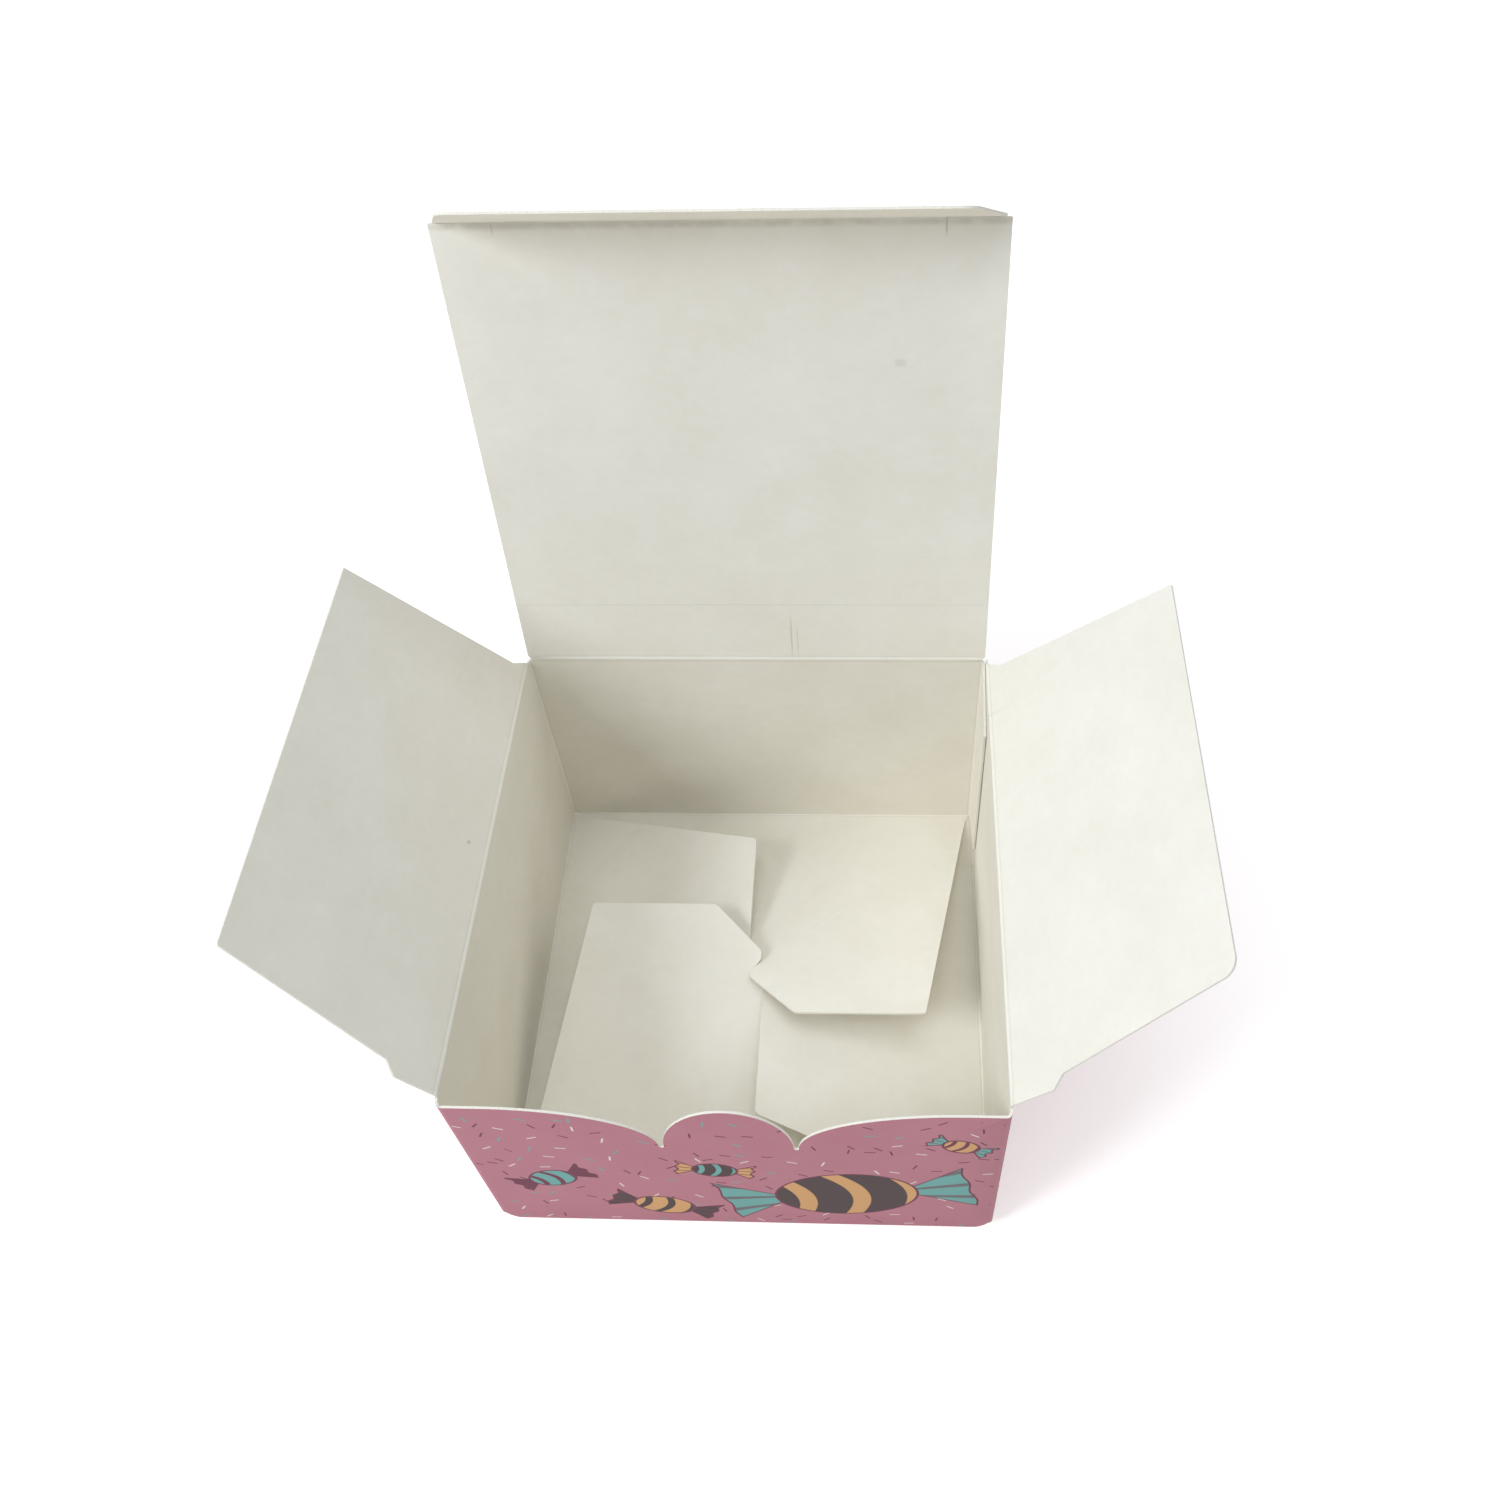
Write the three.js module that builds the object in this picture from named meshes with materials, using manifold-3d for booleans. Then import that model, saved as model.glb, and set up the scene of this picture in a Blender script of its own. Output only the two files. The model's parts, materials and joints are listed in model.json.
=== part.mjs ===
// A folding carton for sweets, cut and folded from one sheet of board. Millimetres, +Z up.
// Four walls are glued at one corner, the bottom is four interlocked flaps that stand up a little
// like a shallow tent, and a square lid with a tuck flap closes over two dust flaps.
// The origin is the middle of the front wall's lower edge, on the surface that the carton stands on.
// The lid hinges on the back wall, at +Y, and +X is to the right seen from the front.
import * as THREE from "three";
import { mergeVertices } from "three/addons/utils/BufferGeometryUtils.js";
import Module from "manifold-3d";

// Carton and board.
const width = 110;
const depth = 110;
const height = 66; // to the folds of the dust flaps
const board = 0.5;
const cornerRadius = 1; // outside of the upright folds
const foldGap = 0.35; // from a fold line to the edge of a panel that turns on it
const baseCornerRelief = 2; // round nick where two bottom folds meet

// Front wall with its scalloped upper edge.
const frontDrop = 1.7; // front edge below the side folds, so that a loose tuck passes over it
const lobeDepth = 17.5;
const middleLobeWidth = 26;
const cornerLand = 8; // straight edge between a side lobe and the corner
const notchRadius = 0.5;

// Glue flap, folded from the back wall and stuck inside the right wall.
const glueFlapWidth = 16;
const glueFlapTopSlope = 8;
const glueFlapBottomSlope = 9;
const glueLine = 0.1;

// Interlocking bottom. Each flap rises from its fold at the tent angle.
const tentAngle = 17.5;
const mainFlapOverlap = 14; // beyond the middle of the carton
const mainFlapTipInset = 14.5; // far corner to the side wall
const mainFlapHeelInset = 1; // short steep edge beside the fold
const mainFlapHeelLength = 7;
const hookChamfer = 10;
const hookReach = 3.4; // hook beyond the middle
const hookWidth = 1.2; // hook across the middle
const hookLap = 0.3; // each flap's edge in the slot, across the middle
const slotHalf = 1.2; // half of the slot in which the two main flaps cross
const wedgeGap = 2.4; // wedge edge back from the diagonal
const sideFlapGap = 2; // side flap short of the middle
const sideReliefWidth = 18.5;
const sideCornerLength = 1; // small cut at the side flap's corner
const sideCornerDepth = 0.6;
const glueTabWidth = 16;
const glueTabEnd = 8; // tab ends, along the diagonal crease
const glueBite = 0.02;

// Lid and tuck flap.
const lidSideClearance = 0.7;
const lidCornerCut = 1.2;
const layGap = 0.4; // closed lid over the closed dust flaps
const tuckClearance = 0.2; // closed tuck behind the front wall
const tuckLength = 20;
const tuckSideInset = 0.6;
const tuckTaper = 2.5;
const tuckCornerRadius = 9;
const tuckGap = 0.2;
const slitLength = 12;
const slitGap = 0.6;
const lidAngle = 98.5; // open, from closed
const tuckAngle = 61.5; // folded in, from flat with the lid

// Dust flaps.
const dustFlapLength = 52.3;
const dustEndClearance = 0.3;
const dustBackNick = 4;
const dustBackTaper = 11.2;
const dustFrontTaper = 10.3;
const shoulderClearance = 0.4; // front shoulder behind the closed tuck
const shoulderLength = 10.4;
const shoulderStep = 2.5;
const dustCornerRadius = 3.4; // rounded front corner
const dustCornerLean = 0.7;
const leftFlapAngle = 123.5; // open, from closed
const rightFlapAngle = 133;

const curveSegments = 10;
const printedColor = 0xc4849a;
const bareColor = 0xdddfd9;
const toRadians = Math.PI / 180;
const halfWidth = width / 2;
const halfDepth = depth / 2;
const lidFoldHeight = height + board + layGap;
const tuckFold = depth - 2.5 * board - tuckClearance; // from the lid's fold line

const wasm = await Module();
wasm.setup();

// A closed geometry as a solid that can be joined and cut.
function solid(geometry) {
  const bare = geometry.clone().deleteAttribute("normal").deleteAttribute("uv");
  const merged = mergeVertices(bare, 1e-4);
  const triVerts = new Uint32Array(merged.index.array);
  const vertProperties = merged.attributes.position.array;
  return new wasm.Manifold(new wasm.Mesh({ numProp: 3, vertProperties, triVerts }));
}

function geometryOf(joined) {
  const { vertProperties, triVerts } = joined.getMesh();
  const geometry = new THREE.BufferGeometry();
  geometry.setAttribute("position", new THREE.BufferAttribute(vertProperties, 3));
  geometry.setIndex(new THREE.BufferAttribute(triVerts, 1));
  const flat = geometry.toNonIndexed();
  flat.computeVertexNormals();
  return flat;
}

// A flat prism of an outline, from one level to another along its third axis.
function prism(shape, low, high) {
  const options = { depth: high - low, bevelEnabled: false, curveSegments };
  return new THREE.ExtrudeGeometry(shape, options).translate(0, 0, low);
}

function polygon(points) {
  return new THREE.Shape(points.map(([u, v]) => new THREE.Vector2(u, v)));
}

// Stands a panel up: u and v are the directions of its outline, and the board lies across them.
function place(geometry, origin, u, v) {
  const across = new THREE.Vector3().crossVectors(u, v);
  const frame = new THREE.Matrix4().makeBasis(u, v, across).setPosition(origin);
  return geometry.applyMatrix4(frame);
}

// The four walls and the glue flap are one strip of board, seen here from above.
function wallStrip() {
  const inner = cornerRadius - board;
  const x = halfWidth;
  const y = halfDepth;
  const glueX = x - board - glueLine; // outer face of the glue flap
  const glueEnd = y - board - glueFlapWidth;
  const quarter = Math.PI / 2;
  const strip = new THREE.Shape();
  strip.moveTo(x, y);
  strip.lineTo(x - board, y);
  strip.lineTo(x - board, -y + cornerRadius);
  strip.absarc(x - cornerRadius, -y + cornerRadius, inner, 0, -quarter, true);
  strip.lineTo(-x + cornerRadius, -y + board);
  strip.absarc(-x + cornerRadius, -y + cornerRadius, inner, -quarter, -2 * quarter, true);
  strip.lineTo(-x + board, y - cornerRadius);
  strip.absarc(-x + cornerRadius, y - cornerRadius, inner, 2 * quarter, quarter, true);
  strip.lineTo(glueX - cornerRadius, y - board);
  strip.absarc(glueX - cornerRadius, y - cornerRadius, inner, quarter, 0, true);
  strip.lineTo(glueX - board, glueEnd);
  strip.lineTo(glueX, glueEnd);
  strip.lineTo(glueX, y - cornerRadius);
  strip.absarc(glueX - cornerRadius, y - cornerRadius, cornerRadius, 0, quarter, false);
  strip.lineTo(-x + cornerRadius, y);
  strip.absarc(-x + cornerRadius, y - cornerRadius, cornerRadius, quarter, 2 * quarter, false);
  strip.lineTo(-x, -y + cornerRadius);
  strip.absarc(-x + cornerRadius, -y + cornerRadius, cornerRadius, 2 * quarter, 3 * quarter, false);
  strip.lineTo(x - cornerRadius, -y);
  strip.absarc(x - cornerRadius, -y + cornerRadius, cornerRadius, -quarter, 0, false);
  return prism(strip, 0, lidFoldHeight - foldGap);
}

// What the scallops take off the front wall: a middle lobe and one side lobe at each end.
function scallopCutter() {
  const top = height - frontDrop;
  const above = lidFoldHeight + board;
  const side = halfWidth - cornerLand - middleLobeWidth / 2 - notchRadius;
  const notch = middleLobeWidth / 2 + notchRadius;
  const cut = new THREE.Shape();
  cut.moveTo(-halfWidth - board, above);
  cut.lineTo(-halfWidth - board, top);
  cut.lineTo(-notch - side, top);
  cut.absellipse(-notch - side, top - lobeDepth, side - notchRadius, lobeDepth, Math.PI / 2, 0, true, 0);
  cut.absarc(-notch, top - lobeDepth, notchRadius, Math.PI, 2 * Math.PI, false);
  cut.absellipse(0, top - lobeDepth, middleLobeWidth / 2, lobeDepth, Math.PI, 0, true, 0);
  cut.absarc(notch, top - lobeDepth, notchRadius, Math.PI, 2 * Math.PI, false);
  cut.absellipse(notch + side, top - lobeDepth, side - notchRadius, lobeDepth, Math.PI, Math.PI / 2, true, 0);
  cut.lineTo(halfWidth + board, top);
  cut.lineTo(halfWidth + board, above);
  const wall = prism(cut, -board, cornerRadius);
  return place(wall, new THREE.Vector3(0, -halfDepth, 0), new THREE.Vector3(1, 0, 0), new THREE.Vector3(0, 0, 1));
}

// The side walls end at the folds of the dust flaps, between the front and the back corner folds.
function sideTopCutters() {
  const long = depth - cornerRadius + board;
  const high = 2 * (lidFoldHeight - height + foldGap);
  const cutter = new THREE.BoxGeometry(2 * cornerRadius, long, high);
  const y = -(cornerRadius + board) / 2;
  const z = height - foldGap + high / 2;
  return [-1, 1].map((side) => cutter.clone().translate(side * halfWidth, y, z));
}

// The glue flap's ends slope, above and below.
function glueFlapCutters() {
  const end = halfDepth - board - glueFlapWidth - board;
  const start = halfDepth - cornerRadius;
  const top = lidFoldHeight;
  const slopes = [
    [[start, top], [start, height - 2 * board], [end, height - glueFlapTopSlope], [end, top]],
    [[start, -board], [end, -board], [end, glueFlapBottomSlope], [start, 0]],
  ];
  const low = halfWidth - 2 * board - glueLine - board;
  const high = halfWidth - board - glueLine / 2;
  const y = new THREE.Vector3(0, 1, 0);
  const z = new THREE.Vector3(0, 0, 1);
  return slopes.map((points) => place(prism(polygon(points), low, high), new THREE.Vector3(), y, z));
}

// Each lower corner has a round nick, seen as a rounded corner from the front and from the side.
function cornerNick(sideX, sideY) {
  const r = baseCornerRelief;
  const nick = new THREE.Shape();
  nick.moveTo(board, -board);
  nick.lineTo(board, r);
  nick.lineTo(0, r);
  nick.absarc(-r, r, r, 0, -Math.PI / 2, true);
  nick.lineTo(-r, -board);
  const x = new THREE.Vector3(sideX, 0, 0);
  const y = new THREE.Vector3(0, sideY, 0);
  const z = new THREE.Vector3(0, 0, 1);
  const corner = new THREE.Vector3(sideX * halfWidth, sideY * halfDepth, 0);
  const long = 2 * r;
  const frontView = solid(place(prism(nick, -long, long), corner, x, z));
  const sideView = solid(place(prism(nick, -long, long), corner, y, z));
  return frontView.intersect(sideView);
}

// A main bottom flap, from its fold at v = 0, up the slope. Its left half lies on top of the side
// flap there, its right half is a wedge under the other side flap, and the slot takes its twin.
function mainFlap(span, reach) {
  const slope = Math.cos(tentAngle * toRadians);
  const middle = (reach / 2 - board / 2) / slope;
  const root = span / 2 - baseCornerRelief;
  const far = middle + mainFlapOverlap / slope;
  const hook = middle + hookReach / slope;
  const slot = middle - slotHalf / slope;
  const wedge = wedgeGap / slope;
  return polygon([
    [-root, 0],
    [-root + mainFlapHeelInset, mainFlapHeelLength],
    [-span / 2 + mainFlapTipInset, far],
    [-hookChamfer, far],
    [hookWidth, hook],
    [-hookLap, hook - slotHalf],
    [-hookLap, slot],
    [hookLap, slot - wedge],
    [root - wedgeGap, board],
    [root - wedgeGap, 0],
  ]);
}

// A side bottom flap: a relief edge on one side and the diagonal glue crease on the other.
function sideFlap(span, reach) {
  const slope = Math.cos(tentAngle * toRadians);
  const root = span / 2 - baseCornerRelief;
  const crease = (board - glueBite) / Math.sin(tentAngle * toRadians);
  const far = (reach / 2 - board / 2 - sideFlapGap) / slope;
  return polygon([
    [-root, 0],
    [-span / 2 + sideReliefWidth, far - sideCornerDepth],
    [-span / 2 + sideReliefWidth + sideCornerLength, far],
    [-crease + sideFlapGap + board, far],
    [root - crease, 0],
  ]);
}

// The side flap's glue tab, folded at the diagonal crease and stuck under the main flap. Its
// outline is in the main flap's plane, which starts at the fold v = 0.
function glueTab(span) {
  const slope = Math.cos(tentAngle * toRadians);
  const crease = (board - glueBite) / Math.sin(tentAngle * toRadians);
  const start = span / 2 - board / 2;
  const along = (u) => [u, (u + start + crease) / slope];
  const low = -start + glueTabEnd;
  const high = -glueTabEnd / 2;
  return polygon([
    along(low),
    along(high),
    [high, along(high - glueTabWidth)[1]],
    [low + glueTabWidth, along(low)[1]],
  ]);
}

// One bottom corner pair, turned half round for the other pair: main flap, side flap and tab.
function bottomFlaps() {
  const rise = tentAngle * toRadians;
  const half = board / 2;
  const up = new THREE.Vector3(0, 0, Math.sin(rise));
  const front = new THREE.Vector3(0, -halfDepth + half, half);
  const left = new THREE.Vector3(-halfWidth + half, 0, half);
  const right = new THREE.Vector3(1, 0, 0);
  const forward = new THREE.Vector3(0, -1, 0);
  const inFromFront = new THREE.Vector3(0, Math.cos(rise), 0).add(up);
  const inFromLeft = new THREE.Vector3(Math.cos(rise), 0, 0).add(up);
  const main = prism(mainFlap(width, depth), -half, half);
  const side = prism(sideFlap(depth, width), -half, half);
  const tab = prism(glueTab(width), -half - board + glueBite, -half + glueBite);
  const pieces = [
    place(main, front, right, inFromFront),
    place(side, left, forward, inFromLeft),
    place(tab, front, right, inFromFront),
  ];
  const turned = pieces.map((piece) => piece.clone().rotateZ(Math.PI));
  return [...pieces, ...turned];
}

function cartonBody() {
  let body = solid(wallStrip());
  const cutters = [scallopCutter(), ...sideTopCutters(), ...glueFlapCutters()];
  for (const cutter of cutters) body = body.subtract(solid(cutter));
  for (const sideX of [-1, 1]) {
    for (const sideY of [-1, 1]) body = body.subtract(cornerNick(sideX, sideY));
  }
  for (const flap of bottomFlaps()) body = body.add(solid(flap));
  return geometryOf(body);
}

// The lid from its fold line at v = 0. The tuck's slits free its front corners.
function lidPanel() {
  const x = halfWidth - lidSideClearance;
  const cut = lidCornerCut;
  const end = tuckFold - tuckGap;
  const outline = polygon([
    [-x + cut, foldGap],
    [x - cut, foldGap],
    [x, foldGap + cut],
    [x, end - cut / 2],
    [x - cut / 2, end],
    [-x + cut / 2, end],
    [-x, end - cut / 2],
    [-x, foldGap + cut],
  ]);
  return prism(outline, -board / 2, board / 2);
}

// The tuck flap from its fold line at v = 0, on the inner face of the lid.
function tuckPanel() {
  const x = halfWidth - lidSideClearance - tuckSideInset;
  const end = x - tuckTaper;
  const r = tuckCornerRadius;
  const slit = halfWidth - lidSideClearance - slitLength;
  const outline = new THREE.Shape();
  outline.moveTo(-slit, tuckGap);
  outline.lineTo(slit, tuckGap);
  outline.lineTo(slit + slitGap, slitGap);
  outline.lineTo(x, slitGap);
  outline.lineTo(end, tuckLength - r);
  outline.absarc(end - r, tuckLength - r, r, 0, Math.PI / 2, false);
  outline.lineTo(-end + r, tuckLength);
  outline.absarc(-end + r, tuckLength - r, r, Math.PI / 2, Math.PI, false);
  outline.lineTo(-x, slitGap);
  outline.lineTo(-slit - slitGap, slitGap);
  return prism(outline, 0, board);
}

// A dust flap from its fold line at v = 0. u runs forward along the fold, from the middle.
function dustPanel() {
  const back = -halfDepth + cornerRadius + dustEndClearance;
  const front = halfDepth - 2 * board - tuckClearance - shoulderClearance;
  const backEnd = -halfDepth + dustBackTaper;
  const frontEnd = halfDepth - dustFrontTaper;
  const r = dustCornerRadius;
  const step = shoulderLength + shoulderStep;
  const outline = new THREE.Shape();
  outline.moveTo(back, foldGap);
  outline.lineTo(-halfDepth + dustBackNick, dustBackNick);
  outline.lineTo(backEnd, dustFlapLength);
  outline.lineTo(frontEnd - r, dustFlapLength);
  outline.quadraticCurveTo(frontEnd, dustFlapLength, frontEnd + dustCornerLean, dustFlapLength - r);
  outline.lineTo(front - shoulderStep, step);
  outline.lineTo(front, shoulderLength);
  outline.lineTo(front, foldGap);
  return prism(outline, -board / 2, board / 2);
}

function material(color) {
  return new THREE.MeshStandardMaterial({ color, roughness: 0.75, metalness: 0 });
}

function panel(name, geometry, color) {
  const mesh = new THREE.Mesh(geometry, material(color));
  mesh.name = name;
  return mesh;
}

// A group whose children's u runs along the fold and v away from it, turned open by an angle.
function hinge(origin, u, closed, angle) {
  const group = new THREE.Group();
  const across = new THREE.Vector3().crossVectors(u, closed);
  const frame = new THREE.Matrix4().makeBasis(u, closed, across).setPosition(origin);
  frame.multiply(new THREE.Matrix4().makeRotationX(angle * toRadians));
  frame.decompose(group.position, group.quaternion, group.scale);
  return group;
}

// The folded carton is built round the middle of its base, which lies behind the origin.
const carton = new THREE.Group();
carton.position.y = halfDepth - board / 2;
carton.add(panel("carton_body", cartonBody(), printedColor));

const lidFold = new THREE.Vector3(0, halfDepth - board / 2, lidFoldHeight);
const lidHinge = hinge(lidFold, new THREE.Vector3(-1, 0, 0), new THREE.Vector3(0, -1, 0), lidAngle);
lidHinge.add(panel("lid", lidPanel(), bareColor));
carton.add(lidHinge);

const tuckFoldPoint = new THREE.Vector3(0, tuckFold, -board / 2);
const tuckDirection = new THREE.Vector3(0, 1, 0);
const tuckHinge = hinge(tuckFoldPoint, new THREE.Vector3(1, 0, 0), tuckDirection, -tuckAngle);
tuckHinge.add(panel("tuck_flap", tuckPanel(), bareColor));
lidHinge.add(tuckHinge);

const dustSides = [
  ["left_dust_flap", -1, leftFlapAngle],
  ["right_dust_flap", 1, rightFlapAngle],
];
for (const [name, side, angle] of dustSides) {
  const fold = new THREE.Vector3(side * (halfWidth - board / 2), 0, height);
  const inward = new THREE.Vector3(-side, 0, 0);
  const dustHinge = hinge(fold, new THREE.Vector3(0, -1, 0), inward, -side * angle);
  dustHinge.add(panel(name, dustPanel(), bareColor));
  carton.add(dustHinge);
}

const part = new THREE.Group();
part.add(carton);
export default part;
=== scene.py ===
import json
from math import cos, hypot, pi, radians, sin, tan

import bmesh
import bpy
from mathutils import Matrix, Vector
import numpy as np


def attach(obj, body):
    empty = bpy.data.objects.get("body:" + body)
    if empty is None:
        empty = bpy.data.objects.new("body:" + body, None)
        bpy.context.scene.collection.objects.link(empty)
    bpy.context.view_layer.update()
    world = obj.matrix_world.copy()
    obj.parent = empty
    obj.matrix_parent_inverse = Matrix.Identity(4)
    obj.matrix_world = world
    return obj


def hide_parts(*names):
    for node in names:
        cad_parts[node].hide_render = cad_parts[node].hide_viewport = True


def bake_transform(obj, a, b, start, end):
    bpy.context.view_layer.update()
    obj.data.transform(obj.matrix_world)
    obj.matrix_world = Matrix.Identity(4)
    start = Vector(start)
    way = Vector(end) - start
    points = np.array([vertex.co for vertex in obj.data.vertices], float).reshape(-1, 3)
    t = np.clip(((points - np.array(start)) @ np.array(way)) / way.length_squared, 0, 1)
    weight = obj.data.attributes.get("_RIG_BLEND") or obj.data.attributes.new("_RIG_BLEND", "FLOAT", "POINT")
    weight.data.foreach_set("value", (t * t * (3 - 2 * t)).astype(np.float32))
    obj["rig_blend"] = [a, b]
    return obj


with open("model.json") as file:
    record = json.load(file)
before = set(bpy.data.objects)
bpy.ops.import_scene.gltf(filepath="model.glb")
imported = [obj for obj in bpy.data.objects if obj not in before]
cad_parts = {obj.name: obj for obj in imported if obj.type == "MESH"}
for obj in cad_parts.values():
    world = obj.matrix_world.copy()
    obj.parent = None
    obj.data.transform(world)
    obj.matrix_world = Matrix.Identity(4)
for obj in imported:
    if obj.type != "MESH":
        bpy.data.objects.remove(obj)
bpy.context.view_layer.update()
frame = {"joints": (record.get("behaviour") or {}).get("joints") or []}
mm = 0.001

# The carton is one die-cut sheet. It is drawn flat in the plane y = 0, as seen from the printed
# side with the front wall in the middle, then folded up fold by fold, and last cut along its
# hinge creases into the pieces that turn. u runs to the right, v up, both in millimetres, and the
# bare inner side of the board looks towards +y.
blank = {
    "board": 0.5,
    "wall": 109.5,            # from fold to fold, at the middle of the board
    "height": 66.0,           # folds of the dust flaps
    "lidFold": 66.9,
    "bottomFold": 0.07,
    "creaseHalf": 0.7,        # half of each hinge crease
    "gridStep": 9.0,
    "gridShift": (0.3, 1.3),
    "gridColumns": (-33, 20),
    "gridRows": (-9, 23),
    "slack": 1e-4,            # places this close count as one
    "tentAngle": 17.5,
    "glueFold": -273.15,
    "glueEnd": -289.4,
    "backEdge": -164.5,       # the back wall, the lid and the tuck lie left of this
}
angles = {"lid": 98.5, "tuck": 62.0, "leftDust": 123.5, "rightDust": 133, "glueTab": -24.6}
half = blank["wall"] / 2
middles = {"front": 0.0, "right": blank["wall"], "left": -blank["wall"], "back": -2 * blank["wall"]}
slope = cos(radians(blank["tentAngle"]))


def arc(centre, radii, start, end, steps):  # points of a part of an ellipse, angles in degrees
    points = []
    for step in range(steps + 1):
        angle = radians(start + (end - start) * step / steps)
        points.append((centre[0] + radii[0] * cos(angle), centre[1] + radii[1] * sin(angle)))
    return points


def mirrored(points):  # the same edge on the other side, walked the other way
    return [(-u, v) for u, v in reversed(points)]


def shifted(points, u, v=0.0):
    return [(point[0] + u, point[1] + v) for point in points]


bottom = {
    # the sheet's edge from an upright fold to a bottom flap: wide at the front, narrow at the back
    "frontRelief": [(-54.0, 3.7), (-53.2, 2.2), (-52.1, 1.1), (-50.9, 0.4), (-50.5, -0.9), (-51.2, -3.0)],
    "backRelief": [(-54.0, 0.3), (-53.95, 0.1), (-53.9, -0.9), (-52.6, -3.0)],
    "overlap": 14.0,          # main flap beyond the middle of the carton
    "tipInset": 14.5,
    "hookChamfer": 10.0,
    "hookReach": 3.4,
    "slotHalf": 1.2,
    "wedgeGap": 2.4,
    "sideGap": 2.0,
    "sideInset": 18.5,
    "creaseOffset": 1.6,      # glue tab crease beside the corner's diagonal
    "tabEnds": (8.0, 50.75),
    "tabInset": (11.0, 49.8),
    "tabWidth": 11.6,
}


def mainFlapEdge():
    middle = half / slope
    far = middle + bottom["overlap"] / slope
    hook = middle + bottom["hookReach"] / slope
    slot = middle - bottom["slotHalf"] / slope
    return [
        (-51.8, -7.2),
        (-half - 0.25 + bottom["tipInset"], -far + 0.5),
        (-half + 0.3 + bottom["tipInset"], -far),
        (-bottom["hookChamfer"] - 0.5, -far),
        (-bottom["hookChamfer"] + 0.3, -far + 0.5),
        (0.9, -hook - 0.3),
        (1.3, -hook + 0.4),
        (1.25, -middle - 1.4),
        (-1.15, -middle + 1.55),
        (0.3, -slot + bottom["wedgeGap"]),
        (49.4, -3.6),
    ]


def creasePoint(inward):  # on the diagonal crease between a side flap and its glue tab
    return (half - bottom["creaseOffset"] - inward, -inward / slope)


def sideFlapEdge():
    far = (half - bottom["sideGap"]) / slope
    start = creasePoint(bottom["tabEnds"][0])
    end = creasePoint(bottom["tabEnds"][1])
    length = hypot(end[0] - start[0], end[1] - start[1])
    along = ((end[0] - start[0]) / length, (end[1] - start[1]) / length)
    out = (-along[1], along[0])
    near, high = [
        (start[0] + along[0] * inset + out[0] * bottom["tabWidth"],
         start[1] + along[1] * inset + out[1] * bottom["tabWidth"])
        for inset in bottom["tabInset"]
    ]
    return [
        (-half - 0.25 + bottom["sideInset"], -far + 0.9),
        (-half + 0.4 + bottom["sideInset"], -far + 0.1),
        (-half + 1.2 + bottom["sideInset"], -far),
        (0.9, -far),
        end,
        high,
        near,
        start,
        (50.4, -3.6),
    ]


upper = {
    "frontTop": 64.1,
    "lobeDepth": 17.5,
    "middleLobe": 13.0,
    "sideLobe": 33.0,
    "notch": 0.5,
    "shoulder": [(53.4, 0.0), (53.4, 10.4), (50.9, 12.9)],
    "dustBack": [(-43.8, 52.3), (-51.0, 4.0), (-53.7, 0.35)],
    "dustLength": 52.3,
    "dustFront": 44.7,
    "dustRound": {"left": 0.5, "right": 3.4},
    "lidHalf": 54.3,
    "lidEnd": 108.4,
    "tuckFold": 108.7,
    "slitHalf": 42.3,
    "tuckSide": 53.3,
    "tuckTip": 46.6,
    "tuckEnd": 128.55,
}
tuckLine = blank["lidFold"] + upper["tuckFold"]


def dustFlapEdge(wall):  # from its front end to its back end, above the fold
    end = upper["dustLength"]
    front = upper["dustFront"]
    rounding = upper["dustRound"][wall]
    edge = list(upper["shoulder"])
    edge += arc((front + 0.35 - rounding, end - rounding), (rounding, rounding), 12, 90, 6)
    return edge + upper["dustBack"]


def scallopEdge():  # right to left
    top = upper["frontTop"]
    low = top - upper["lobeDepth"]
    notch = upper["notch"]
    middle = upper["middleLobe"]
    side = upper["sideLobe"]
    first = middle + 2 * notch + side
    lobe = arc((first, low), (-side, upper["lobeDepth"]), 90, 0, 20)
    lobe += arc((middle + notch, low), (notch, notch), 0, -180, 6)[1:-1]
    whole = arc((0, low), (middle, upper["lobeDepth"]), 0, 180, 32)
    return lobe + whole + mirrored(lobe)


def lidEdge():  # right to left
    side = upper["lidHalf"]
    end = upper["lidEnd"]
    slit = upper["slitHalf"]
    tuck = upper["tuckSide"]
    tip = upper["tuckTip"]
    far = upper["tuckEnd"]
    right = [
        (53.9, 0.35),
        (side, 0.8),
        (side, end - 0.2),
        (side - 0.2, end),
        (slit, end),
        (slit, end + 0.3),
        (slit + 0.4, end + 0.6),
        (tuck, end + 0.6),
        (tip + 0.7, far - 2.2),
        (tip - 0.3, far - 0.8),
        (tip - 2.0, far),
    ]
    return right + mirrored(right)


# the rest of the sheet's edge: the ends of the glue flap, the right wall's free end, and the
# nicks at the top of the upright folds
nicks = {
    "glueLow": [(blank["glueEnd"], 9.0), (-274.3, 1.2), (-273.9, 0.6)],
    "glueHigh": [(-272.4, 66.5), (-273.2, 66.0), (-274.0, 65.2), (blank["glueEnd"], 58.0)],
    "freeEnd": [(164.5, 0.5), (164.5, 66.4), (163.7, 66.4), (163.5, 65.5)],
    "front": [(56.0, 65.3), (55.4, 65.1), (54.1, upper["frontTop"])],
    "back": [(-163.5, 65.5), (-163.9, 65.8), (-164.8, 66.2), (-165.5, 66.5)],
}


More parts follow.
